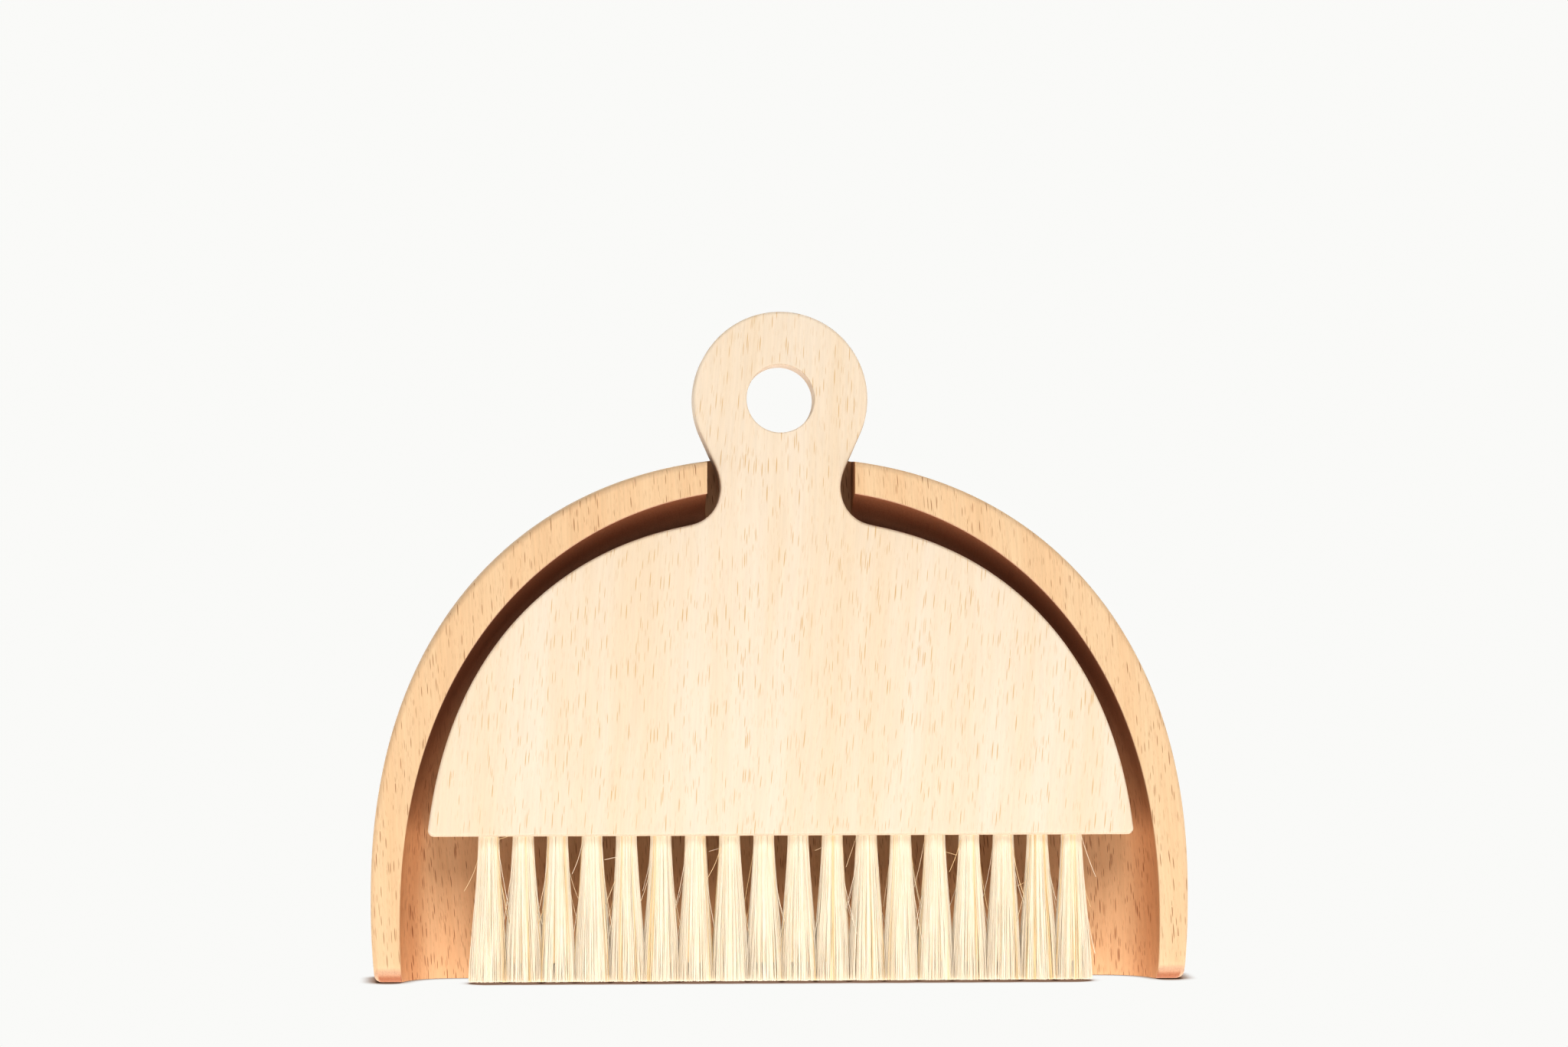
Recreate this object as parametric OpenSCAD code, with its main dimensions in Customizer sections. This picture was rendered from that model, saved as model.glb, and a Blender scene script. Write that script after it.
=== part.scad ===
// Dust pan and brush set, standing on its open edge with the brush resting in the pan.
// Millimetres. +Z is up, the open front of the pan faces -Y, and X runs across the set.
// The origin is the middle of the ground rectangle under the whole set.

/* [Dust pan] */
// Width of the pan across its rim
pan_w = 214.6; // [200:0.2:240]
// Height of the pan from its open edge to its crown
pan_h = 137.3; // [130:0.1:150]
// Thickness of the pan block from front to back
pan_t = 22; // [21:0.5:30]
// Height of the pan's widest line above its open edge
pan_wide_z = 21.4; // [15:0.1:30]
// Squareness of the rim's outer outline, where 2 is an ellipse
pan_n = 2.24; // [2:0.01:2.6]

/* [Scoop] */
// Width of the hollow at the front face of the rim
scoop_w = 199.4; // [180:0.2:200]
// Height of the hollow at the front face of the rim
scoop_h = 129.2; // [127:0.1:131]
// Height of the hollow's widest line above the open edge
scoop_wide_z = 14.7; // [10:0.1:25]
// Squareness of the hollow's outline
scoop_n = 2.19; // [2:0.01:2.6]
// Depth of the hollow
scoop_depth = 16; // [15.5:0.1:16]
// Radius of the cove where the rim's inner wall runs into the back plate
cove_r = 14; // [6:0.5:14]
// Width of the slot that lets the brush handle through the crown of the rim
slot_w = 38.8; // [38:0.1:44]
// Radius of the rounded front corners of the rim's two feet
foot_r = 5; // [2:0.5:6]

/* [Brush board] */
// Width of the board at its widest line
board_w = 186.8; // [180:0.2:187]
// Height of the shoulders' crown, before the handle is added
board_crown = 121.1; // [116:0.1:121.5]
// Height of the board's widest line
board_wide_z = 18.7; // [10:0.1:30]
// Squareness of the board's outline
board_n = 2.32; // [2.2:0.01:2.5]
// Thickness of the board
board_t = 11; // [9:0.5:11]
// Height of the board's lower edge above the bristle tips
trim = 38; // [34:0.5:42]
// Radius of the board's lower corners
corner_r = 1.6; // [0.5:0.1:4]

/* [Ring handle] */
// Outer diameter of the ring
ring_d = 45.8; // [44:0.2:46]
// Height of the ring's centre above the bristle tips
ring_z = 152.4; // [151:0.1:156]
// Diameter of the hanging hole
hole_d = 17.8; // [14:0.1:22]
// Width of the neck at its narrowest
neck_w = 31.5; // [30:0.1:32]
// Radius of the hollow curve that leads from the neck up to the ring
neck_r = 14; // [12:0.5:14]
// Radius of the fillet that leads from the neck down to the shoulders
shoulder_r = 9.4; // [8:0.1:10]
// Slope of the shoulders where that fillet meets them
shoulder_slope = 14; // [12:0.5:16]

/* [Bristles] */
// Number of tufts in the row
tufts = 18; // [18:1:18]
// Distance between neighbouring tufts
tuft_pitch = 9; // [9:0.05:9.4]
// Diameter of a tuft where it enters the board
tuft_d = 5.4; // [4:0.1:5.6]
// Diameter of a tuft at its tips
tuft_tip_d = 8.8; // [7:0.1:8.8]
// Depth of a tuft hole
tuft_hole = 11; // [9:0.5:14]
// Thickness of the flat anchor wire that pins a folded tuft into its hole
anchor_t = 0.4; // [0.3:0.05:0.6]
// Height of an anchor
anchor_h = 2; // [1.5:0.1:2.5]
// How far each end of an anchor bites into the wood beside its hole
anchor_bite = 0.9; // [0.5:0.1:1.2]

/* [Resting place] */
// Backward lean of the brush
lean = 3.5; // [2.5:0.1:3.5]
// Distance from the rim's front face back to the foot of the brush's front face
brush_set = -5.6; // [-6:0.1:-5.6]

/* [Hidden] */

// Straight pieces that make up one half of an outline
arch_steps = 30;
arc_steps = 12;
cove_steps = 6;
round_fn = 96;
// Cutters run this far past the faces that they cut
past = 1;
// A tuft is this much smaller in radius than its hole
tuft_slack = 0.05;
// Depth from an anchor's lower edge to the hole's closed end
anchor_back = 3;

tuft_r = tuft_d / 2;
tip_r = tuft_tip_d / 2;
mid_v = board_t / 2;
// The bristle tips' rear edge stands on the ground
brush_lift = (mid_v + tip_r) * sin(lean);
// Depths are measured back from the rim's front face until the set is centred on the origin
front_most = brush_set + (mid_v - tip_r) * cos(lean);
centre_depth = (front_most + pan_t) / 2;

function tuft_name(i) = str("tuft_", i < 10 ? "0" : "", i);
function tuft_x(i) = (i - (tufts + 1) / 2) * tuft_pitch;

// Half width of a superellipse at height z, and its height at half width x
function arch_x(a, b, n, z0, z) = a * pow(1 - pow(abs(z - z0) / b, n), 1 / n);
function arch_z(a, b, n, z0, x) = z0 + b * pow(1 - pow(x / a, n), 1 / n);

// Points of the right half of a superellipse arch, from its cut-off at height z up to its crown
function arch_half(a, b, n, z0, z) =
    let (start = -asin(pow((z0 - z) / b, n / 2)))
    [for (k = [0:arch_steps - 1])
        let (t = start + (90 - start) * k / arch_steps)
        [a * pow(cos(t), 2 / n), z0 + (t < 0 ? -1 : 1) * b * pow(abs(sin(t)), 2 / n)]];

function arc(cx, cz, r, from, to) =
    [for (k = [0:arc_steps])
        let (t = from + (to - from) * k / arc_steps)
        [cx + r * cos(t), cz + r * sin(t)]];

// Mirror a right half outline, listed from the bottom up, to close it
function both_sides(half) =
    concat(half, [for (k = [len(half) - 1:-1:0]) [-half[k][0], half[k][1]]]);

// Stand a flat outline up, and give it a thickness that runs back from the given depth
module slab(depth, thickness)
    translate([0, depth + thickness, 0]) rotate([90, 0, 0]) linear_extrude(thickness) children();

// Outline of the hollow, drawn in by inset and cut off below the open edge
module scoop_outline(inset) {
    a = scoop_w / 2 - inset;
    b = scoop_h - scoop_wide_z - inset;
    half = arch_half(a, b, scoop_n, scoop_wide_z, 0);
    polygon(both_sides(concat([[half[0][0], -past]], half, [[0, scoop_wide_z + b]])));
}

// The hollow, with the cove around its floor
module scoop() hull() {
    straight = scoop_depth - cove_r;
    slab(-past, past + straight) scoop_outline(0);
    for (k = [1:cove_steps]) {
        t = 90 * k / cove_steps;
        depth = straight + cove_r * sin(t);
        slab(depth - 0.01, 0.01) scoop_outline(cove_r * (1 - cos(t)));
    }
}

// The corner that is cut from the front of both feet
module foot_corner() difference() {
    translate([-pan_w / 2 - past, -past, -past]) cube([pan_w + 2 * past, foot_r + past, foot_r + past]);
    translate([0, foot_r, foot_r]) rotate([0, 90, 0])
        cylinder(h = pan_w + 4 * past, r = foot_r, center = true, $fn = round_fn);
}

module dust_pan() color("#d9a468") centred() difference() {
    slab(0, pan_t) polygon(both_sides(concat(
        arch_half(pan_w / 2, pan_h - pan_wide_z, pan_n, pan_wide_z, 0), [[0, pan_h]])));
    scoop();
    translate([-slot_w / 2, -past, scoop_h - cove_r])
        cube([slot_w, scoop_depth + past, pan_h]);
    foot_corner();
}

// Right half of the board's outline: corner, side, shoulder fillet, neck and flank of the ring
function board_half() =
    let (a = board_w / 2, b = board_crown - board_wide_z, r = neck_w / 2 + neck_r)
    let (corner_x = arch_x(a, b, board_n, board_wide_z, trim + corner_r))
    let (join_x = neck_w / 2 + shoulder_r * (1 - sin(shoulder_slope)))
    let (neck_z = arch_z(a, b, board_n, board_wide_z, join_x) + shoulder_r * cos(shoulder_slope))
    let (span = norm([r, ring_z - neck_z]))
    let (flank = asin((ring_d / 2 + neck_r) / span) - atan(r / (ring_z - neck_z)))
    concat(
        arc(corner_x - corner_r, trim + corner_r, corner_r, -90, 0),
        [for (p = arch_half(a, b, board_n, board_wide_z, 0))
            if (p[1] > trim + corner_r + 0.5 && p[0] > join_x + 1) p],
        arc(neck_w / 2 + shoulder_r, neck_z, shoulder_r, 270 - shoulder_slope, 180),
        arc(r, neck_z, neck_r, 180, 180 - flank),
        arc(0, ring_z, ring_d / 2, -flank, 90));

module hanging_hole()
    translate([0, -past, ring_z]) rotate([-90, 0, 0])
        cylinder(h = board_t + 2 * past, d = hole_d, $fn = round_fn);

module anchor(i)
    translate([tuft_x(i), mid_v, trim + tuft_hole - anchor_back + anchor_h / 2])
        cube([tuft_d + 2 * anchor_bite, anchor_t, anchor_h], center = true);

module tuft_bore(i)
    translate([tuft_x(i), mid_v, trim - past])
        cylinder(h = tuft_hole + past, r = tuft_r, $fn = 32);

module brush_board() color("#efcfa0") leaning() difference() {
    slab(0, board_t) polygon(both_sides(board_half()));
    hanging_hole();
    for (i = [1:tufts]) {
        tuft_bore(i);
        anchor(i);
    }
}

module tuft_anchors() color("silver") leaning()
    for (i = [1:tufts]) anchor(i);

// One tuft: straight inside its hole, flaring to its trimmed tips
module tuft(i) color("#f4e8c8") leaning() difference() {
    translate([tuft_x(i), mid_v, 0]) {
        cylinder(h = trim, r1 = tip_r, r2 = tuft_r - tuft_slack, $fn = 32);
        translate([0, 0, trim - tuft_slack])
            cylinder(h = tuft_hole, r = tuft_r - tuft_slack, $fn = 32);
    }
    anchor(i);
}

// Places a piece of the pan, drawn with its depths measured back from the rim's front face
module centred() translate([0, -centre_depth, 0]) children();

// Places a piece of the brush, drawn upright with its front face at depth 0 and its tips at 0
module leaning() centred()
    translate([0, brush_set, brush_lift]) rotate([-lean, 0, 0]) children();

dust_pan();
brush_board();
tuft_anchors();
for (i = [1:tufts]) tuft(i);
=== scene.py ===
import math

import bmesh
import bpy
import numpy as np
from mathutils import Matrix, Vector


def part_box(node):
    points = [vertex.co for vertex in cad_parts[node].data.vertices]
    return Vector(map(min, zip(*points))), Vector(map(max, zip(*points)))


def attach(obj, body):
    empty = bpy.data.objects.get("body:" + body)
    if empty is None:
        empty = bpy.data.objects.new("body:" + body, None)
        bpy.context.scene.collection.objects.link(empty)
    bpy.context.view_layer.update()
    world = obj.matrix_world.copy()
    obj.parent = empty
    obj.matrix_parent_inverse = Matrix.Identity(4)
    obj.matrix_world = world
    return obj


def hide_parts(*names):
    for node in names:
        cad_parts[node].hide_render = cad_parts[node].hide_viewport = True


# The looks of the dust pan and brush set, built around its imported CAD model.
# Shapes are worked out in millimetres, in the row frame: +Z up, the open front of the pan facing -Y.
# Depths are measured back from the pan's front face. The brush has a frame of its own:
# x across, v from its front face to its back, and w up from its bristle tips.

MM = 0.001

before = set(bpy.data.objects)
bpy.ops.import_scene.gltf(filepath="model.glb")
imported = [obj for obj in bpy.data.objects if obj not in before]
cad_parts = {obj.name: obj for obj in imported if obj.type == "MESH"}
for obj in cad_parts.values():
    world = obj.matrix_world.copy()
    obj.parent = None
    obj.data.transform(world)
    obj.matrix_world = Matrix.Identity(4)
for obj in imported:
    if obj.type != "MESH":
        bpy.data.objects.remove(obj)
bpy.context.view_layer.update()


def box_mm(node):
    """Lowest and highest corner of a CAD node, in millimetres."""
    low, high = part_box(node)
    return low / MM, high / MM


# Dust pan
pan_low, pan_high = box_mm("dust_pan")
PAN_FRONT = pan_low.y
PAN_T = pan_high.y - pan_low.y
PAN_HALF = pan_high.x
PAN_H = pan_high.z
PAN_WIDE_Z = 21.4
PAN_N = 2.24
PAN_EDGE = 1.5

# Its hollow, called the scoop, and the slot for the brush's neck
SCOOP_HALF = 99.7
SCOOP_H = 129.2
SCOOP_WIDE_Z = 14.7
SCOOP_N = 2.19
SCOOP_DEPTH = 16
COVE_R = 14
SCOOP_EASE = 0.4
SLOT_HALF = 19.4
SLOT_EASE = 0.09
FOOT_R = 5
FOOT_SIDE_R = 2

# Brush board and ring handle
BOARD_HALF = 93.4
BOARD_CROWN = 121.1
BOARD_WIDE_Z = 18.7
BOARD_N = 2.32
BOARD_T = 11
BOARD_EDGE = 0.8
TRIM = 38
CORNER_R = 1.6
RING_R = 22.9
RING_Z = 152.4
HOLE_R = 8.9
HOLE_EASE = 0.4
NECK_HALF = 15.75
NECK_R = 14
SHOULDER_R = 9.4
SHOULDER_SLOPE = 14

# Tufts and how the brush stands
TUFTS = 18
TUFT_PITCH = 9
TUFT_R = 2.7
TUFT_HOLE = 11
LEAN = 3.5
BRUSH_SET = -5.6
TIP_R = 4.4
MID_V = BOARD_T / 2
BRUSH_LIFT = (MID_V + TIP_R) * math.sin(math.radians(LEAN))

# Steps of the meshes' curves
FOOT_STEPS = 10
SIDE_STEPS = 150
CROWN_STEPS = 14
COVE_STEPS = 14
EDGE_STEPS = 5
CORNER_STEPS = 8
BOARD_SIDE_STEPS = 170
SHOULDER_STEPS = 20
NECK_STEPS = 16
RING_STEPS = 60
HOLE_STEPS = 96
TUFT_HOLE_STEPS = 32
# Points closer together than this are one, where the rings of the pan meet under its feet
MERGE = 0.03
# Edges of the slot that turn outwards by more than this, in degrees, are eased
SLOT_TURN = 30
# A point is on the slot's wall when it is this close to it
ON_WALL = 1e-6
# Edges that turn by more than this, in degrees, are creases in the shading
SHARP_WOOD = 35
SHARP_FIBRE = 80


# ---------------------------------------------------------------- mesh helpers

def add_object(name, data):
    """A new object in the scene."""
    made = bpy.data.objects.new(name, data)
    bpy.context.scene.collection.objects.link(made)
    return made


def arch_x(a, b, n, wide_z, z):
    """Half width of a superellipse at height z."""
    return a * (1 - (abs(z - wide_z) / b) ** n) ** (1 / n)


def arch_z(a, b, n, wide_z, x):
    """Height of the upper half of a superellipse at half width x."""
    return wide_z + b * (1 - (abs(x) / a) ** n) ** (1 / n)


def arch_run(a, b, n, wide_z, start, end, steps):
    """Points spaced evenly along a superellipse, between two of its points."""
    def at(angle):
        reach = (abs(np.cos(angle) / a) ** n + abs(np.sin(angle) / b) ** n) ** (-1 / n)
        return reach * np.cos(angle), wide_z + reach * np.sin(angle)

    first = math.atan2(start[1] - wide_z, start[0])
    last = math.atan2(end[1] - wide_z, end[0])
    angles = np.linspace(first, last, 40 * steps)
    x, z = at(angles)
    length = np.concatenate([[0], np.cumsum(np.hypot(np.diff(x), np.diff(z)))])
    x, z = at(np.interp(np.linspace(0, length[-1], steps + 1), length, angles))
    return list(zip(x.tolist(), z.tolist()))


def quarter(steps):
    """Sines and cosines of angles from 0 to 90 degrees."""
    angles = [math.pi / 2 * k / steps for k in range(steps + 1)]
    return [(math.sin(angle), math.cos(angle)) for angle in angles]


def finish_mesh(name, bm):
    """Turns bm, in millimetres, into an object with smooth shading, sharp creases and true flats."""
    bmesh.ops.recalc_face_normals(bm, faces=bm.faces)
    bmesh.ops.scale(bm, vec=(MM, MM, MM), verts=bm.verts)
    mesh = bpy.data.meshes.new(name)
    bm.to_mesh(mesh)
    bm.free()
    mesh.shade_smooth()
    mesh.set_sharp_from_angle(angle=math.radians(SHARP_WOOD))
    piece = add_object(name, mesh)
    weighted = piece.modifiers.new("flat_flats", "WEIGHTED_NORMAL")
    weighted.mode = "FACE_AREA"
    weighted.weight = 100
    weighted.keep_sharp = True
    with bpy.context.temp_override(object=piece, active_object=piece):
        bpy.ops.object.modifier_apply(modifier=weighted.name)
    return piece


def strip(bm, first, second):
    """Quads between two rows of vertices of the same length."""
    for k in range(len(first) - 1):
        bm.faces.new((first[k], first[k + 1], second[k + 1], second[k]))


def fill_with_holes(bm, loops):
    """Fills the flat region between the first loop of vertices and the other loops, its holes."""
    edges = []
    for loop in loops:
        for k, vert in enumerate(loop):
            pair = (vert, loop[(k + 1) % len(loop)])
            edges.append(bm.edges.get(pair) or bm.edges.new(pair))
    bmesh.ops.triangle_fill(bm, use_beauty=True, use_dissolve=False, edges=edges)


# ---------------------------------------------------------------- dust pan

def pan_ring(half, height, n, wide_z, outer, depth):
    """Right half of one ring around the pan, from the open edge up to the crown, in millimetres."""
    rise = height - wide_z
    foot_z = [FOOT_R * (1 - cos) for sin, cos in quarter(FOOT_STEPS)]
    slot_top = (SLOT_HALF, arch_z(half, rise, n, wide_z, SLOT_HALF))
    knee = (arch_x(half, rise, n, wide_z, FOOT_R), FOOT_R)
    points = [(arch_x(half, rise, n, wide_z, z), z) for z in foot_z[:-1]]
    points += arch_run(half, rise, n, wide_z, knee, slot_top, SIDE_STEPS)
    for k in range(1, CROWN_STEPS + 1):
        x = SLOT_HALF * (1 - k / CROWN_STEPS)
        points.append((x, arch_z(half, rise, n, wide_z, x)))
    return [foot_round(x, depth, z, outer) for x, z in points]


def foot_round(x, depth, z, outer):
    """Draws a point near the ground back behind the foot's rounded front, and in from its rounded side."""
    if z < FOOT_R:
        back = FOOT_R - math.sqrt(FOOT_R ** 2 - (FOOT_R - z) ** 2)
        if depth < FOOT_R:
            depth = back + depth * (1 - back / FOOT_R)
    if outer and z < FOOT_SIDE_R:
        x -= FOOT_SIDE_R - math.sqrt(FOOT_SIDE_R ** 2 - (FOOT_SIDE_R - z) ** 2)
    return x, PAN_FRONT + depth, z


def pan_profile():
    """What pan_ring needs for each of the pan's rings, from the scoop's floor round to the back."""
    straight = SCOOP_DEPTH - COVE_R
    rings = []

    def scoop(inset, depth):
        rings.append((SCOOP_HALF - inset, SCOOP_H - inset, SCOOP_N, SCOOP_WIDE_Z, False, depth))

    def outside(inset, depth):
        rings.append((PAN_HALF - inset, PAN_H - inset, PAN_N, PAN_WIDE_Z, True, depth))

    for sin, cos in reversed(quarter(COVE_STEPS)):
        scoop(COVE_R * (1 - cos), straight + COVE_R * sin)
    for sin, cos in quarter(EDGE_STEPS):
        scoop(-SCOOP_EASE * (1 - cos), SCOOP_EASE * (1 - sin))
    for sin, cos in quarter(EDGE_STEPS):
        outside(PAN_EDGE * (1 - sin), PAN_EDGE * (1 - cos))
    outside(0, SCOOP_DEPTH)
    slot_floor = len(rings) - 1
    for sin, cos in quarter(EDGE_STEPS):
        outside(PAN_EDGE * (1 - cos), PAN_T - PAN_EDGE * (1 - sin))
    return rings, slot_floor


def build_pan():
    """One block with its scoop, cove, slot and feet."""
    bm = bmesh.new()
    rings, slot_floor = pan_profile()
    side = FOOT_STEPS + SIDE_STEPS
    rows = []
    for index, ring in enumerate(rings):
        right = pan_ring(*ring)
        if index < slot_floor:
            right = right[:side + 1]
        left = [(-x, y, z) for x, y, z in reversed(right)]
        if index >= slot_floor:
            left = left[1:]
        rows.append([bm.verts.new(point) for point in right + left])

    for near, far in zip(rows, rows[1:]):
        strip(bm, near[:side + 1], far[:side + 1])
        strip(bm, near[-side - 1:], far[-side - 1:])
    for near, far in zip(rows[slot_floor:], rows[slot_floor + 1:]):
        strip(bm, near[side:-side], far[side:-side])

    ears = rows[slot_floor]
    bm.faces.new(rows[0][:side + 1] + ears[side:-side] + rows[0][side + 1:])
    bm.faces.new(rows[-1])
    bm.faces.new([row[side] for row in rows[:slot_floor + 1]])
    bm.faces.new([row[-side - 1] for row in rows[:slot_floor + 1]])
    bm.faces.new([row[0] for row in rows] + [row[-1] for row in reversed(rows)])
    bmesh.ops.remove_doubles(bm, verts=bm.verts, dist=MERGE)
    bmesh.ops.recalc_face_normals(bm, faces=bm.faces)
    ease_slot_edges(bm)
    return finish_mesh("pan_body", bm)


def ease_slot_edges(bm):
    """Takes the sharpness off the edges of the slot."""
    chosen = []
    turn = math.radians(SLOT_TURN)
    for edge in bm.edges:
        convex = len(edge.link_faces) == 2 and edge.calc_face_angle_signed() > turn
        if convex and all(abs(abs(vert.co.x) - SLOT_HALF) < ON_WALL for vert in edge.verts):
            chosen.append(edge)
    bmesh.ops.bevel(
        bm, geom=chosen, offset=SLOT_EASE, segments=3, profile=0.5, affect="EDGES", clamp_overlap=True)


# ---------------------------------------------------------------- brush board

def arc(cx, cw, radius, start, end, steps):
    """Points of a circular arc, between two angles in degrees."""
    angles = [math.radians(start + (end - start) * k / steps) for k in range(steps + 1)]
    return [(cx + radius * math.cos(t), cw + radius * math.sin(t)) for t in angles]


def board_outline():
    """The board's outline in its own frame, anticlockwise from the lower right corner."""
    rise = BOARD_CROWN - BOARD_WIDE_Z
    shape = (BOARD_HALF, rise, BOARD_N, BOARD_WIDE_Z)
    slope = math.radians(SHOULDER_SLOPE)
    reach = NECK_HALF + NECK_R
    corner_top = (arch_x(*shape, TRIM + CORNER_R), TRIM + CORNER_R)
    join_x = NECK_HALF + SHOULDER_R * (1 - math.sin(slope))
    join = (join_x, arch_z(*shape, join_x))
    neck_w = join[1] + SHOULDER_R * math.cos(slope)
    span = math.hypot(reach, RING_Z - neck_w)
    flank = math.degrees(math.asin((RING_R + NECK_R) / span) - math.atan(reach / (RING_Z - neck_w)))
    corner = arc(corner_top[0] - CORNER_R, TRIM + CORNER_R, CORNER_R, -90, 0, CORNER_STEPS)
    side = arch_run(*shape, corner_top, join, BOARD_SIDE_STEPS)
    shoulder = arc(NECK_HALF + SHOULDER_R, neck_w, SHOULDER_R, 270 - SHOULDER_SLOPE, 180, SHOULDER_STEPS)
    neck = arc(reach, neck_w, NECK_R, 180, 180 - flank, NECK_STEPS)
    ring = arc(0, RING_Z, RING_R, -flank, 90, RING_STEPS)
    half = corner + soften(side[1:] + shoulder[1:]) + neck[1:] + ring
    return half + [(-x, w) for x, w in reversed(half[:-1])]


def soften(points, passes=12):
    """Evens out the small kink where the side runs into the shoulder, and holds both ends."""
    line = np.array(points)
    for _ in range(passes):
        line[1:-1] += 0.5 * ((line[:-2] + line[2:]) / 2 - line[1:-1])
    return [tuple(point) for point in line.tolist()]


def inset(outline, amount):
    """A closed outline drawn in by the same amount all round."""
    points = np.array(outline)
    ahead = np.roll(points, -1, 0) - points
    ahead /= np.linalg.norm(ahead, axis=1)[:, None]
    behind = np.roll(ahead, 1, 0)
    normal = np.stack([ahead[:, 1] + behind[:, 1], -ahead[:, 0] - behind[:, 0]], 1)
    normal /= 1 + (ahead * behind).sum(1)[:, None]
    return points - amount * normal


def brush_to_row():
    """Matrix from the brush's own frame (x, v, w) to the row frame, both in millimetres."""
    place = Matrix.Translation((0, PAN_FRONT + BRUSH_SET, BRUSH_LIFT))
    return place @ Matrix.Rotation(-math.radians(LEAN), 4, "X")


def tuft_x(index):
    """Middle of a tuft, counted from 0 at the left."""
    return (index - (TUFTS - 1) / 2) * TUFT_PITCH


def circle(radius, cx, cy, steps):
    """Points of a full circle, each one once."""
    return arc(cx, cy, radius, 0, 360 * (1 - 1 / steps), steps - 1)


def build_board():
    """The board with its ring handle, hanging hole and bored tuft holes."""
    bm = bmesh.new()
    outline = board_outline()
    rounds = quarter(EDGE_STEPS)
    depths = [(BOARD_EDGE * (1 - sin), BOARD_EDGE * (1 - cos)) for sin, cos in rounds]
    depths += [(BOARD_EDGE * (1 - cos), BOARD_T - BOARD_EDGE * (1 - sin)) for sin, cos in rounds]
    rows = [[bm.verts.new((x, v, w)) for x, w in inset(outline, drawn)] for drawn, v in depths]

    eased = [(HOLE_EASE * (1 - sin), HOLE_EASE * (1 - cos)) for sin, cos in rounds]
    eased += [(HOLE_EASE * (1 - cos), BOARD_T - HOLE_EASE * (1 - sin)) for sin, cos in rounds]
    bore = [
        [bm.verts.new((x, v, w)) for x, w in circle(HOLE_R + wider, 0, RING_Z, HOLE_STEPS)]
        for wider, v in eased
    ]
    for near, far in zip(bore, bore[1:]):
        strip(bm, near + near[:1], far + far[:1])

    for near, far in zip(rows, rows[1:]):
        flat_middle = near is rows[EDGE_STEPS]
        strip(bm, near, far)
        if not flat_middle:
            strip(bm, [near[-1], near[0]], [far[-1], far[0]])
    fill_with_holes(bm, [rows[0], bore[0]])
    fill_with_holes(bm, [rows[-1], bore[-1]])
    bore_tuft_holes(bm, rows[EDGE_STEPS], rows[EDGE_STEPS + 1])
    bmesh.ops.transform(bm, matrix=brush_to_row(), verts=bm.verts)
    return finish_mesh("board_body", bm)


def bore_tuft_holes(bm, front, back):
    """The board's underside, between the front and back rows, with a blind hole for each tuft."""
    mouths = []
    for index in range(TUFTS):
        rim = circle(TUFT_R, tuft_x(index), MID_V, TUFT_HOLE_STEPS)
        mouth = [bm.verts.new((x, v, TRIM)) for x, v in rim]
        end = [bm.verts.new((x, v, TRIM + TUFT_HOLE)) for x, v in rim]
        strip(bm, mouth + mouth[:1], end + end[:1])
        bm.faces.new(end)
        mouths.append(mouth)
    fill_with_holes(bm, [[front[0], back[0], back[-1], front[-1]]] + mouths)


# ---------------------------------------------------------------- bristles

# Each tuft is a packed core, long fibres around it, and the short ends of its inner fibres at the tips
OUTER_FIBRES = 330
INNER_FIBRES = 170
STRAYS = 4
FIBRE_R = 0.115
STRAY_R = 0.08
FIBRE_SIDES = 5
FIBRE_STEPS = 8
TIP_STEPS = 2
# Fibres begin a little way up their holes, and a stray's tip comes down no lower than this
ROOT_W = TRIM + 3
STRAY_LOWEST = 0.8
# Half the width of a tuft at its tips, across the row; front to back it is held within the CAD tuft
FLARE = 4.75
DEEP = TIP_R - FIBRE_R - 0.05
# How far fibres stray from their own line: at the tips, and on the way down
DRIFT = 0.24
SWAY = 0.07
# How unevenly the tips are trimmed, and the least height of a tip
TRIM_SPREAD = 0.2
TRIM_LEAST = 0.05
# Turn from each fibre to the next, which spreads them evenly
GOLDEN_ANGLE = math.pi * (3 - math.sqrt(5))
# The core's share of a tuft's radius, where it ends above the tips, and its ridges, whose depth is a
# share of that radius too
CORE_SHARE = 0.91
CORE_END = 5
CORE_RIDGES = 40
RIDGE_DEPTH = 0.05
# Length of the inner fibres that is hidden in the core
INNER_OVERLAP = 3
CORE_STEPS = 10
# Straw-coloured strands in each tuft, how wide one is, in radians, and its share of a fibre's tint
GOLDEN_STRANDS = 4
STRAND_WIDTH = 0.13
STRAND_SHARE = 0.45
# The first tuft's random seed; each further tuft has the next one
SEED = 700


def spread(s):
    """How far a tuft has opened at a share s of its length: it stays closed near the board."""
    return 0.1 * s + 0.9 * s * s * (3 - 2 * s)


def tuft_size(s, flare):
    """Half width and half depth of a tuft at a share s of its length."""
    root = TUFT_R - FIBRE_R
    return root + (flare - root) * spread(s), root + (min(flare, DEEP) - root) * spread(s)


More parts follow.
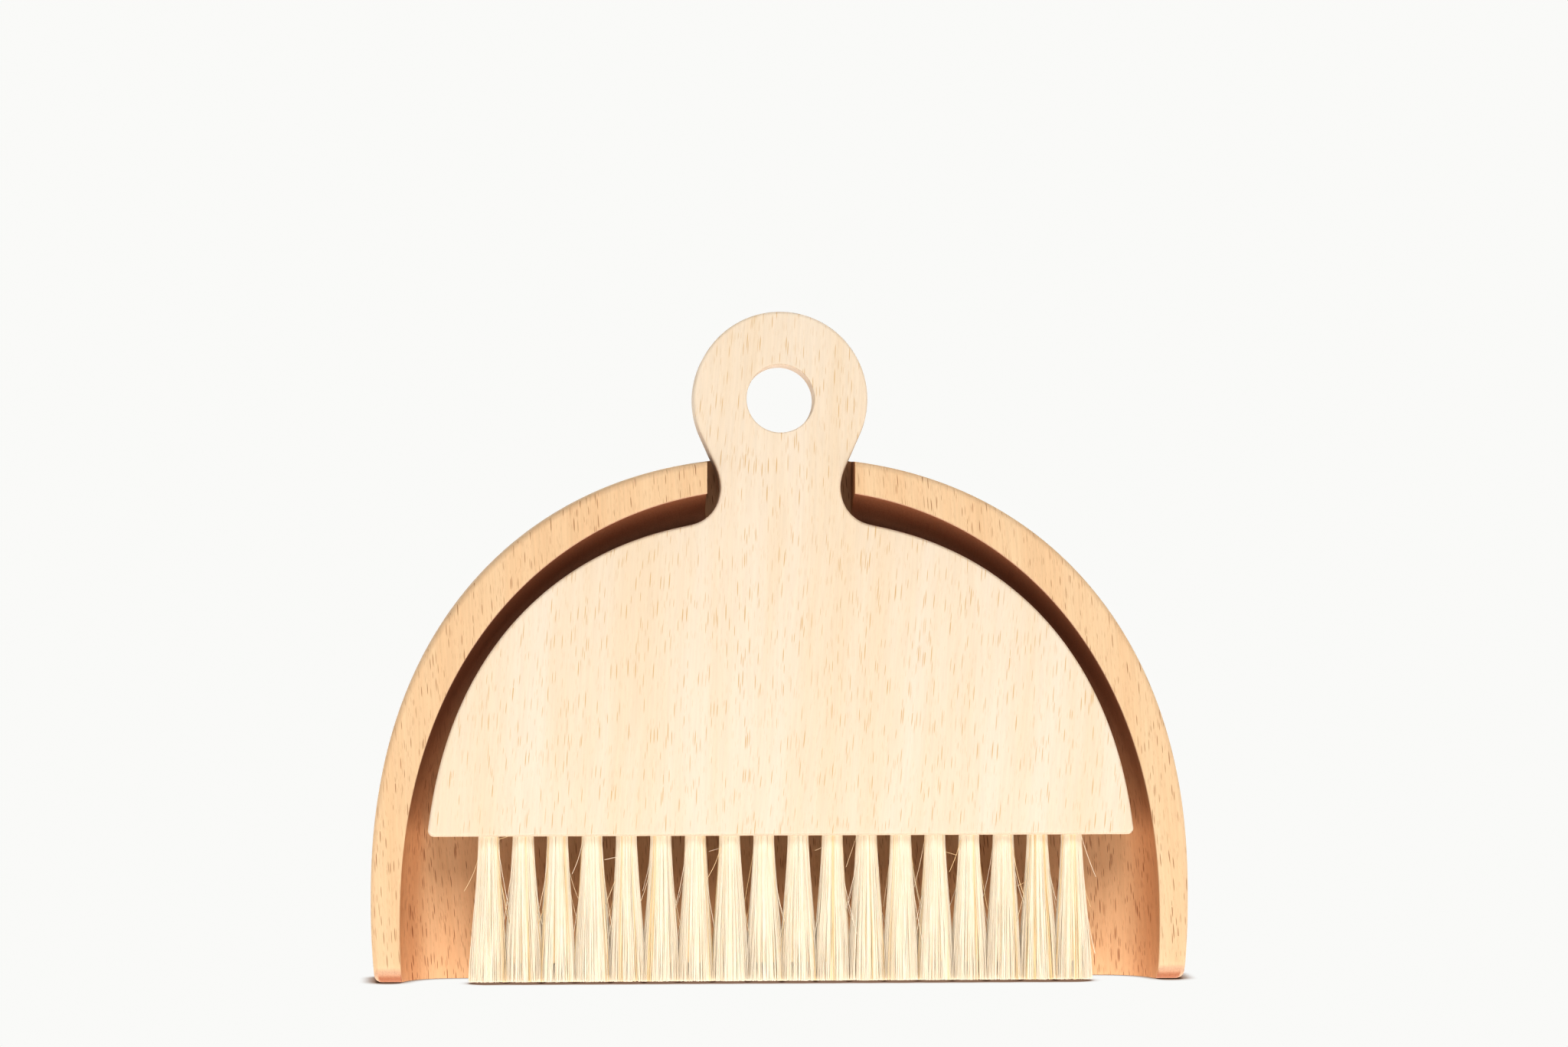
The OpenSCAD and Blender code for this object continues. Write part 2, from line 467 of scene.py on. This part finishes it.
def fibre_tube(path, radius, verts, faces, tints, tint):
    """Adds one fibre: a thin tube along a path of points in the brush's frame."""
    path = np.array(path)
    along = np.gradient(path, axis=0)
    along /= np.linalg.norm(along, axis=1)[:, None]
    across = np.cross(along, (0.31, 0.95, 0.0))
    across /= np.linalg.norm(across, axis=1)[:, None]
    beside = np.cross(along, across)
    turns = np.arange(FIBRE_SIDES) * 2 * math.pi / FIBRE_SIDES
    rings = (
        path[:, None]
        + radius * np.cos(turns)[None, :, None] * across[:, None]
        + radius * np.sin(turns)[None, :, None] * beside[:, None]
    )
    start = len(verts)
    verts.extend(rings.reshape(-1, 3).tolist())
    tints.extend([tint] * (len(path) * FIBRE_SIDES))
    for k in range(len(path) - 1):
        for j in range(FIBRE_SIDES):
            a = start + k * FIBRE_SIDES + j
            b = start + k * FIBRE_SIDES + (j + 1) % FIBRE_SIDES
            faces.append((a, b, b + FIBRE_SIDES, a + FIBRE_SIDES))
    faces.append(tuple(range(start + FIBRE_SIDES - 1, start - 1, -1)))
    last = len(verts) - FIBRE_SIDES
    faces.append(tuple(range(last, last + FIBRE_SIDES)))


def lowest_w(v):
    """Height above the tips at which a fibre would touch the ground."""
    lean = math.radians(LEAN)
    return (v * math.sin(lean) - BRUSH_LIFT) / math.cos(lean)


def fibre_path(random, centre, turn, reach, flare, bias, first_step, steps):
    """A fibre that leaves its hole straight, spreads with its tuft, and ends at the trimmed tips."""
    drift = random.normal(0, DRIFT, 2)
    sway = random.normal(0, SWAY, 2)
    phase = random.uniform(0.6, 1.6)
    trimmed = abs(random.normal(0, TRIM_SPREAD)) + TRIM_LEAST
    path = []
    for k in range(steps + 1):
        s = first_step + (1 - first_step) * k / steps
        half_width, half_depth = tuft_size(s, flare)
        wave = sway * math.sin(math.pi * phase * s)
        x = math.cos(turn) * reach * half_width + (drift[0] + bias) * s * s + wave[0]
        v = math.sin(turn) * reach * half_depth + drift[1] * s * s + wave[1]
        v = min(max(v, -half_depth), half_depth)
        foot = max(trimmed, lowest_w(MID_V + v) + FIBRE_R)
        path.append((centre + x, MID_V + v, ROOT_W - (ROOT_W - foot) * s))
    return path


def stray_path(random, centre, level):
    """A loose fibre, which leaves the side of its tuft and bends gently down and outwards."""
    side = random.choice([-1, 1])
    s = random.uniform(0.05, 0.5)
    half_width, half_depth = tuft_size(s, FLARE)
    root_v = random.uniform(-0.8, 0.3) * half_depth
    root = np.array([side * (half_width - 0.25), root_v, ROOT_W * (1 - s)])
    drop = random.uniform(0, 1.5) if level else random.uniform(8, 22)
    out = side * random.uniform(2.0, 4.0)
    bend = root + np.array([out * random.uniform(0.1, 0.5), random.uniform(-0.6, 0.6), -drop * 0.5])
    tip = root + np.array([out, random.uniform(-1.0, 0.6), -drop])
    tip[2] = max(tip[2], STRAY_LOWEST)
    path = []
    for k in range(FIBRE_STEPS + 1):
        t = k / FIBRE_STEPS
        x, v, w = root * (1 - t) ** 2 + 2 * bend * t * (1 - t) + tip * t * t
        path.append((centre + x, MID_V + min(max(v, -DEEP), DEEP), w))
    return path


def add_core(random, centre, flare, bias, verts, faces, tints):
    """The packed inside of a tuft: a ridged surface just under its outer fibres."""
    end = 1 - CORE_END / ROOT_W
    start = len(verts)
    sides = 2 * CORE_RIDGES
    ridges = [RIDGE_DEPTH * random.uniform() if j % 2 else 0.0 for j in range(sides)]
    # The core's tints lean to straw yellow, so the valleys between the outer fibres, where it shows, look
    # darker and warmer. Straw yellow is a real fibre colour; its weight in the core is painted warm shade,
    # standing in for light that passes through the fibres.
    warm_shade_tints = random.uniform(0.65, 1.0, sides)
    for k in range(CORE_STEPS + 1):
        s = end * k / CORE_STEPS
        half_width, half_depth = tuft_size(s, flare)
        for j, ridge in enumerate(ridges):
            turn = 2 * math.pi * j / sides
            share = CORE_SHARE - ridge
            x = math.cos(turn) * half_width * share + bias * s * s
            verts.append((centre + x, MID_V + math.sin(turn) * half_depth * share, ROOT_W * (1 - s)))
        tints.extend(warm_shade_tints.tolist())
    for k in range(CORE_STEPS):
        for j in range(sides):
            a = start + k * sides + j
            b = start + k * sides + (j + 1) % sides
            faces.append((b, a, a + sides, b + sides))
    faces.append(tuple(range(start, start + sides)))
    last = len(verts) - sides
    faces.append(tuple(range(last + sides - 1, last - 1, -1)))


def build_tuft(index):
    """One tuft, as a single piece, with a tint for each fibre."""
    random = np.random.default_rng(SEED + index)
    verts, faces, tints = [], [], []
    centre = tuft_x(index)
    flare = FLARE + random.uniform(-0.2, 0.25)
    bias = random.uniform(-0.3, 0.3)
    golden = random.uniform(0, 2 * math.pi, GOLDEN_STRANDS)
    add_core(random, centre, flare, bias, verts, faces, tints)

    def add_fibre(turn, reach, first_step, steps):
        path = fibre_path(random, centre, turn, reach, flare, bias, first_step, steps)
        apart = np.abs((turn - golden + math.pi) % (2 * math.pi) - math.pi)
        golden_here = float(np.exp(-(apart / STRAND_WIDTH) ** 2).max())
        tint = (1 - STRAND_SHARE) * random.uniform() + STRAND_SHARE * golden_here
        fibre_tube(path, FIBRE_R * random.uniform(0.8, 1.1), verts, faces, tints, tint)

    for k in range(OUTER_FIBRES):
        turn = k * GOLDEN_ANGLE + random.normal(0, 0.05)
        add_fibre(turn, random.uniform(CORE_SHARE, 1), 0, FIBRE_STEPS)
    inner_start = 1 - (CORE_END + INNER_OVERLAP) / ROOT_W
    for k in range(INNER_FIBRES):
        reach = 0.9 * CORE_SHARE * math.sqrt((k + 0.5) / INNER_FIBRES)
        add_fibre(k * GOLDEN_ANGLE, reach, inner_start, TIP_STEPS)
    for k in range(STRAYS):
        path = stray_path(random, centre, level=k == 0 and index % 3 == 1)
        fibre_tube(path, STRAY_R, verts, faces, tints, random.uniform())

    name = f"bristles_{index + 1:02d}"
    mesh = bpy.data.meshes.new(name)
    mesh.from_pydata(verts, [], faces)
    mesh.transform(Matrix.Scale(MM, 4) @ brush_to_row())
    tint = mesh.attributes.new("tint", "FLOAT", "POINT")
    tint.data.foreach_set("value", tints)
    mesh.shade_smooth()
    mesh.set_sharp_from_angle(angle=math.radians(SHARP_FIBRE))
    return add_object(name, mesh)


# ---------------------------------------------------------------- materials

class Tree:
    """The nodes of a material or of the world. An input is a plain value or another node's output."""

    def __init__(self, owner):
        self.owner = owner
        owner.use_nodes = True
        self.nodes = owner.node_tree.nodes
        self.links = owner.node_tree.links
        self.nodes.clear()

    def add(self, kind, inputs=None, **settings):
        node = self.nodes.new("ShaderNode" + kind)
        for key, value in settings.items():
            setattr(node, key, value)
        for key, value in (inputs or {}).items():
            if isinstance(value, bpy.types.NodeSocket):
                self.links.new(value, node.inputs[key])
            else:
                node.inputs[key].default_value = value
        return node

    def math(self, operation, first, second=0.0):
        return self.add("Math", {0: first, 1: second}, operation=operation).outputs[0]

    def ramp(self, value, low, high, to_low=0.0, to_high=1.0):
        """Smooth step: to_low below low, to_high above high."""
        inputs = {"Value": value, "From Min": low, "From Max": high, "To Min": to_low, "To Max": to_high}
        return self.add("MapRange", inputs, interpolation_type="SMOOTHSTEP").outputs[0]

    def stretch(self, vector, x, y, z):
        """The vector with one unit for every x, y and z millimetres."""
        scale = [1 / (size * MM) for size in (x, y, z)]
        return self.add("VectorMath", {0: vector, 1: scale}, operation="MULTIPLY").outputs[0]

    def noise(self, vector, detail=2.0, roughness=0.5):
        inputs = {"Vector": vector, "Scale": 1.0, "Detail": detail, "Roughness": roughness}
        return self.add("TexNoise", inputs).outputs["Fac"]

    def offset(self, vector, change):
        return self.add("VectorMath", {0: vector, 1: change}, operation="ADD").outputs[0]

    def tone(self, red, green, blue):
        """A colour from three values, to multiply another colour by."""
        return self.add("CombineColor", {0: red, 1: green, 2: blue}).outputs[0]

    def mix(self, factor, first, second, blend="MIX"):
        node = self.add("Mix", data_type="RGBA", blend_type=blend, clamp_factor=True)
        for key, value in ((0, factor), (6, first), (7, second)):
            if isinstance(value, bpy.types.NodeSocket):
                self.links.new(value, node.inputs[key])
            elif key == 0:
                node.inputs[key].default_value = value
            else:
                node.inputs[key].default_value = (*value, 1)
        return node.outputs[2]

    def finish(self, inputs):
        shader = self.add("BsdfPrincipled", inputs)
        self.add("OutputMaterial", {"Surface": shader.outputs[0]})
        return self.owner


def fleck_mask(tree, across, along, width, length, share):
    """Thin spindles along the grain on a flat face, in a share of the cells, each with its own size."""
    place = tree.add("CombineXYZ", {
        "X": tree.math("MULTIPLY", across, 1 / (width * MM)),
        "Y": tree.math("MULTIPLY", along, 1 / (length * MM)),
    })
    inputs = {"Vector": place.outputs[0], "Scale": 1.0, "Randomness": 1.0}
    cells = tree.add("TexVoronoi", inputs, voronoi_dimensions="2D")
    pick = tree.add("SeparateColor", {0: cells.outputs["Color"]})
    size = tree.math("ADD", tree.math("MULTIPLY", pick.outputs[1], 0.24), 0.14)
    near = tree.math("DIVIDE", cells.outputs["Distance"], size)
    spindle = tree.ramp(near, 1.0, 0.5)
    kept = tree.math("LESS_THAN", pick.outputs[0], share)
    strength = tree.ramp(pick.outputs[2], 0.0, 0.8, 0.45, 1.0)
    return tree.math("MULTIPLY", tree.math("MULTIPLY", spindle, kept), strength)


def flecks_on_faces(tree, grain, facing, width, length, share):
    """Ray flecks: narrow on the front and back, broader and fainter on the sides, none on end grain."""
    flat = tree.ramp(tree.math("ABSOLUTE", facing.outputs["Y"]), 0.35, 0.6)
    sideways = tree.ramp(tree.math("ABSOLUTE", facing.outputs["X"]), 0.5, 0.8, 0.0, 0.5)
    at = tree.add("SeparateXYZ", {0: grain})
    front = fleck_mask(tree, at.outputs["X"], at.outputs["Z"], width, length, share)
    side = fleck_mask(tree, at.outputs["Y"], at.outputs["Z"], 1.6 * width, 0.8 * length, share)
    front = tree.math("MULTIPLY", front, flat)
    side = tree.math("MULTIPLY", side, sideways)
    return tree.math("MAXIMUM", front, side)


def scoop_mask(tree, place, facing):
    """One on the surfaces of the scoop, and zero on the rim's front, the outer faces and the back."""
    position = tree.add("SeparateXYZ", {0: place.outputs["Object"]})
    across = tree.add("CombineXYZ", {0: position.outputs["X"], 2: position.outputs["Z"]})
    outward = tree.add("VectorMath", {0: across.outputs[0]}, operation="NORMALIZE")
    turned_out = tree.add(
        "VectorMath", {0: place.outputs["Normal"], 1: outward.outputs[0]}, operation="DOT_PRODUCT")
    hollow = tree.ramp(turned_out.outputs["Value"], 0.3, 0.05)
    behind_front = tree.ramp(position.outputs["Y"], (PAN_FRONT + 0.2) * MM, (PAN_FRONT + 1.5) * MM)
    not_back = tree.ramp(facing.outputs["Y"], 0.7, 0.4)
    return tree.math("MULTIPLY", tree.math("MULTIPLY", behind_front, hollow), not_back)


def beech(
        name, pale, deep, fleck, fleck_size, fleck_strength, streaking, slant, end_grain, inside=None):
    """Planed beech: warm bands, fibre streaks, ray flecks along the grain, and a pored end grain on faces
    turned down.

    fleck_size is a cell's width and length in millimetres and the share of cells with a fleck, and
    slant is the grain's lean in degrees. inside holds the tones that the scoop's floor, its walls and
    the cove under its crown are multiplied by. They were fitted to the photo, so part of its shade is
    painted in. The flecks are denser and stronger there.
    """
    tree = Tree(bpy.data.materials.new(name))
    place = tree.add("TexCoord")
    lean = (0, math.radians(slant), 0)
    turned = tree.add("Mapping", {"Vector": place.outputs["Object"], "Rotation": lean}).outputs[0]
    wander = tree.noise(tree.stretch(turned, 22, 22, 90), 1.0)
    shift = tree.add("CombineXYZ", {"X": tree.math("MULTIPLY", wander, 5 * MM)})
    grain = tree.offset(turned, shift.outputs[0])

    bands = tree.ramp(tree.noise(tree.stretch(grain, 9, 9, 220), 3.0, 0.6), 0.3, 0.72)
    streaks = tree.noise(tree.stretch(grain, 0.55, 1.5, 14), 3.0, 0.6)
    fibres = tree.noise(tree.stretch(grain, 0.16, 0.5, 2.2), 2.0, 0.6)
    facing = tree.add("SeparateXYZ", {0: place.outputs["Normal"]})
    fleck_width, fleck_length, fleck_share = fleck_size
    if inside:
        within = scoop_mask(tree, place, facing)
        fleck_share = tree.ramp(within, 0.0, 1.0, fleck_share, 1.8 * fleck_share)
        fleck_strength = tree.ramp(within, 0.0, 1.0, fleck_strength, 1.2 * fleck_strength)
    flecks = flecks_on_faces(tree, grain, facing, fleck_width, fleck_length, fleck_share)
    small = flecks_on_faces(tree, grain, facing, 0.7 * fleck_width, 0.5 * fleck_length, 0.4)
    marks = tree.math("MAXIMUM", flecks, tree.math("MULTIPLY", small, 0.3))

    wood = tree.mix(bands, pale, deep)
    lines = tree.ramp(streaks, 0.3, 0.75, 1 + 0.6 * streaking, 1 - streaking)
    wood = tree.mix(1.0, wood, tree.tone(lines, lines, lines), "MULTIPLY")
    hairs = tree.ramp(fibres, 0.5, 0.8, 1.0, 1 - streaking)
    wood = tree.mix(1.0, wood, tree.tone(1.0, hairs, hairs), "MULTIPLY")
    wood = tree.mix(tree.math("MULTIPLY", marks, fleck_strength), wood, fleck)

    # End grain colour goes only on faces turned down. Faces turned up are end grain too, but keep the
    # paler side grain colour: painted light on the tops.
    ended = tree.ramp(facing.outputs["Z"], -0.1, -0.45)
    dots = tree.noise(tree.stretch(place.outputs["Object"], 0.35, 0.35, 0.35), 2.0)
    pores = tree.ramp(dots, 0.42, 0.62)
    ends = tree.mix(pores, end_grain, [0.86 * value for value in end_grain])
    colour = tree.mix(tree.math("MULTIPLY", ended, 0.85), wood, ends)
    # Painted shade: the scoop's floor, its walls and the cove under its crown are multiplied by darker,
    # redder tones that stand in for the shade that falls in the hollow.
    if inside:
        floor_painted_shade, wall_painted_shade, crown_painted_shade = inside
        wall = tree.ramp(tree.math("ABSOLUTE", facing.outputs["Y"]), 0.98, 0.6)
        tone = tree.mix(wall, floor_painted_shade, tree.mix(ended, wall_painted_shade, crown_painted_shade))
        colour = tree.mix(within, colour, tree.mix(1.0, colour, tone, "MULTIPLY"))

    relief = tree.math("SUBTRACT", tree.math("MULTIPLY", fibres, 0.5), marks)
    bump = tree.add("Bump", {"Height": relief, "Strength": 0.35, "Distance": 0.08 * MM})
    rough = tree.ramp(streaks, 0.3, 0.7, 0.58, 0.7)
    return tree.finish({
        "Base Color": colour,
        "Roughness": rough,
        "Specular IOR Level": 0.25,
        "Normal": bump.outputs[0],
    })


def bristle():
    """Stiff plant fibre: cream, some strands straw yellow, slightly mottled along their length."""
    tree = Tree(bpy.data.materials.new("plant_fibre"))
    place = tree.add("TexCoord")
    tint = tree.add("Attribute", attribute_name="tint", attribute_type="GEOMETRY").outputs["Fac"]
    mottle = tree.noise(tree.stretch(place.outputs["Object"], 0.5, 0.5, 3.5), 2.0)
    colour = tree.mix(tree.ramp(tint, 0.35, 1.0), (0.845, 0.755, 0.625), (0.81, 0.62, 0.36))
    colour = tree.mix(tree.ramp(mottle, 0.45, 0.75, 0.0, 0.25), colour, (0.82, 0.64, 0.40))
    bump = tree.add("Bump", {"Height": mottle, "Strength": 0.2, "Distance": 0.02 * MM})
    return tree.finish({
        "Base Color": colour,
        "Roughness": tree.ramp(tint, 0.0, 1.0, 0.38, 0.55),
        "Specular IOR Level": 0.4,
        "Normal": bump.outputs[0],
    })


def drawn_wire():
    """Flat drawn steel wire with lengthwise scratches."""
    tree = Tree(bpy.data.materials.new("anchor_steel"))
    place = tree.add("TexCoord")
    scratches = tree.noise(tree.stretch(place.outputs["Object"], 4, 0.08, 0.08), 3.0)
    bump = tree.add("Bump", {"Height": scratches, "Strength": 0.25, "Distance": 0.01 * MM})
    return tree.finish({
        "Base Color": tree.mix(scratches, (0.52, 0.52, 0.54), (0.68, 0.68, 0.70)),
        "Metallic": 1.0,
        "Roughness": tree.ramp(scratches, 0.3, 0.7, 0.28, 0.45),
        "Normal": bump.outputs[0],
    })


# ---------------------------------------------------------------- stage, light and camera

# Lengths from here on are in metres, apart from the contact shade and the camera
FLOOR_SIZE = 6.0
BACKDROP = (0.966, 0.966, 0.953)
# Light that the bright floor sends up onto the set, out to the first distance and past the second
GLOW_NEAR = 2.2
GLOW_FAR = 1.5
GLOW_REACH = (0.2, 0.6)
# Shade on the floor around what stands on it: how far the soft and the dark part reach, and their colours
SOFT_REACH = 6
SOFT_SHADE = (0.38, 0.25, 0.18)
DARK_REACH = 1.2
DARK_SHADE = (0.05, 0.02, 0.01)
# The square softboxes and the point that they are turned to
SOFTBOX_SIZE = 1.3
LIT_POINT = (0, 0, 0.07)
BACKDROP_LIGHT = 1.3


def build_stage():
    """A plain pale floor, as bright as the background.

    The camera sees it as one even tone with contact shade from ambient occlusion, so the shadows that
    the lamps would cast on it don't show. The object is lit by a brighter, glowing floor instead, as
    on a white studio sweep.
    """
    mesh = bpy.data.meshes.new("floor")
    half = FLOOR_SIZE / 2
    corners = [(-half, -half, 0), (half, -half, 0), (half, half, 0), (-half, half, 0)]
    mesh.from_pydata(corners, [], [(0, 1, 2, 3)])
    floor = add_object("floor", mesh)
    tree = Tree(bpy.data.materials.new("pale_floor"))
    near = tree.add("AmbientOcclusion", {"Distance": SOFT_REACH * MM, "Color": (1, 1, 1, 1)}, samples=16)
    touch = tree.add("AmbientOcclusion", {"Distance": DARK_REACH * MM, "Color": (1, 1, 1, 1)}, samples=16)
    soft = tree.mix(tree.ramp(near.outputs["AO"], 0.4, 0.9), SOFT_SHADE, BACKDROP)
    shaded = tree.mix(tree.ramp(touch.outputs["AO"], 0.1, 0.9), DARK_SHADE, soft)
    seen = tree.add("Emission", {"Color": shaded})
    matt = tree.add("BsdfDiffuse", {"Color": (0.2, 0.2, 0.2, 1)})
    at = tree.add("TexCoord").outputs["Object"]
    away = tree.add("VectorMath", {0: at}, operation="LENGTH").outputs["Value"]
    strength = tree.ramp(away, *GLOW_REACH, GLOW_NEAR, GLOW_FAR)
    glow = tree.add("Emission", {"Color": (1, 1, 0.99, 1), "Strength": strength})
    lit = tree.add("AddShader", {0: matt.outputs[0], 1: glow.outputs[0]})
    path = tree.add("LightPath")
    seen_directly = path.outputs["Is Camera Ray"]
    surface = tree.add("MixShader", {0: seen_directly, 1: lit.outputs[0], 2: seen.outputs[0]})
    tree.add("OutputMaterial", {"Surface": surface.outputs[0]})
    floor.data.materials.append(tree.owner)


def build_world():
    """A pale background. It lights the object from low down behind, as a white backdrop does."""
    world = bpy.data.worlds.new("studio")
    bpy.context.scene.world = world
    tree = Tree(world)
    shown = tree.add("Background", {"Color": (*BACKDROP, 1), "Strength": 1.0})
    facing = tree.add("SeparateXYZ", {0: tree.add("TexCoord").outputs["Generated"]})
    low = tree.ramp(facing.outputs["Z"], 0.65, 0.35)
    strength = tree.math("MULTIPLY", tree.ramp(facing.outputs["Y"], 0.0, 0.5, 0.0, BACKDROP_LIGHT), low)
    light = tree.add("Background", {"Color": (1, 1, 1, 1), "Strength": strength})
    path = tree.add("LightPath")
    seen_directly = path.outputs["Is Camera Ray"]
    mix = tree.add("MixShader", {0: seen_directly, 1: light.outputs[0], 2: shown.outputs[0]})
    tree.add("OutputWorld", {"Surface": mix.outputs[0]})


def turned_to(place, target):
    """The rotation of a light or camera at place that looks at target."""
    return (Vector(target) - Vector(place)).to_track_quat("-Z", "Y").to_euler()


def add_softbox(name, place, power):
    """A square soft light at place, turned to the set."""
    data = bpy.data.lights.new(name, "AREA")
    data.shape = "RECTANGLE"
    data.size = SOFTBOX_SIZE
    data.size_y = SOFTBOX_SIZE
    data.energy = power
    light = add_object(name, data)
    light.location = place
    light.rotation_euler = turned_to(place, LIT_POINT)


# The camera stands in front of the pan, a little left of its middle and level with the top of its rim.
# These lengths are in millimetres, the lens's too.
CAMERA_DISTANCE = 1500
CAMERA_X = -89
CAMERA_Z = 136.5
AIM_X = 0.7
AIM_Z = 120.0
LENS = 131.84
SENSOR = 36
VIEW_GAMMA = 0.75


def build_camera():
    """The photograph's viewpoint."""
    data = bpy.data.cameras.new("camera")
    data.lens = LENS
    data.sensor_width = SENSOR
    data.clip_start = 0.01
    camera = add_object("camera", data)
    place = Vector((CAMERA_X, PAN_FRONT - CAMERA_DISTANCE, CAMERA_Z)) * MM
    aim = Vector((AIM_X, PAN_FRONT, AIM_Z)) * MM
    camera.location = place
    camera.rotation_euler = turned_to(place, aim)
    bpy.context.scene.camera = camera


# ---------------------------------------------------------------- putting it together

pan_wood = beech(
    "pan_beech", pale=(0.665, 0.497, 0.328), deep=(0.640, 0.452, 0.282), fleck=(0.25, 0.095, 0.03),
    fleck_size=(0.42, 6.5, 0.26), fleck_strength=0.68, streaking=0.05, slant=3.5,
    end_grain=(0.51, 0.325, 0.225),
    # inside: painted shade for the scoop's floor, its walls and the cove under its crown
    inside=((1.0, 0.88, 0.81), (0.84, 0.62, 0.50), (0.68, 0.44, 0.33)))
board_wood = beech(
    "board_beech", pale=(0.690, 0.598, 0.493), deep=(0.680, 0.562, 0.428), fleck=(0.56, 0.37, 0.18),
    fleck_size=(0.46, 8.0, 0.3), fleck_strength=0.8, streaking=0.03, slant=-3.5,
    end_grain=(0.60, 0.47, 0.36))

pan = build_pan()
pan.data.materials.append(pan_wood)
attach(pan, "pan")
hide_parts("dust_pan")

board = build_board()
board.data.materials.append(board_wood)
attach(board, "brush")
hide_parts("brush_board")

fibre = bristle()
for number in range(TUFTS):
    tuft = build_tuft(number)
    tuft.data.materials.append(fibre)
    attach(tuft, "brush")
    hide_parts(f"tuft_{number + 1:02d}")

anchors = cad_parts["tuft_anchors"]
anchors.data.materials.clear()
anchors.data.materials.append(drawn_wire())

build_stage()
build_world()
add_softbox("key", place=(0.10, -2.24, 2.00), power=50)
add_softbox("overhead", place=(0.20, -0.10, 2.95), power=44)
build_camera()
# The woods' and the fibre's colours were fitted to the photo under these two settings
bpy.context.scene.view_settings.view_transform = "Standard"
bpy.context.scene.view_settings.gamma = VIEW_GAMMA
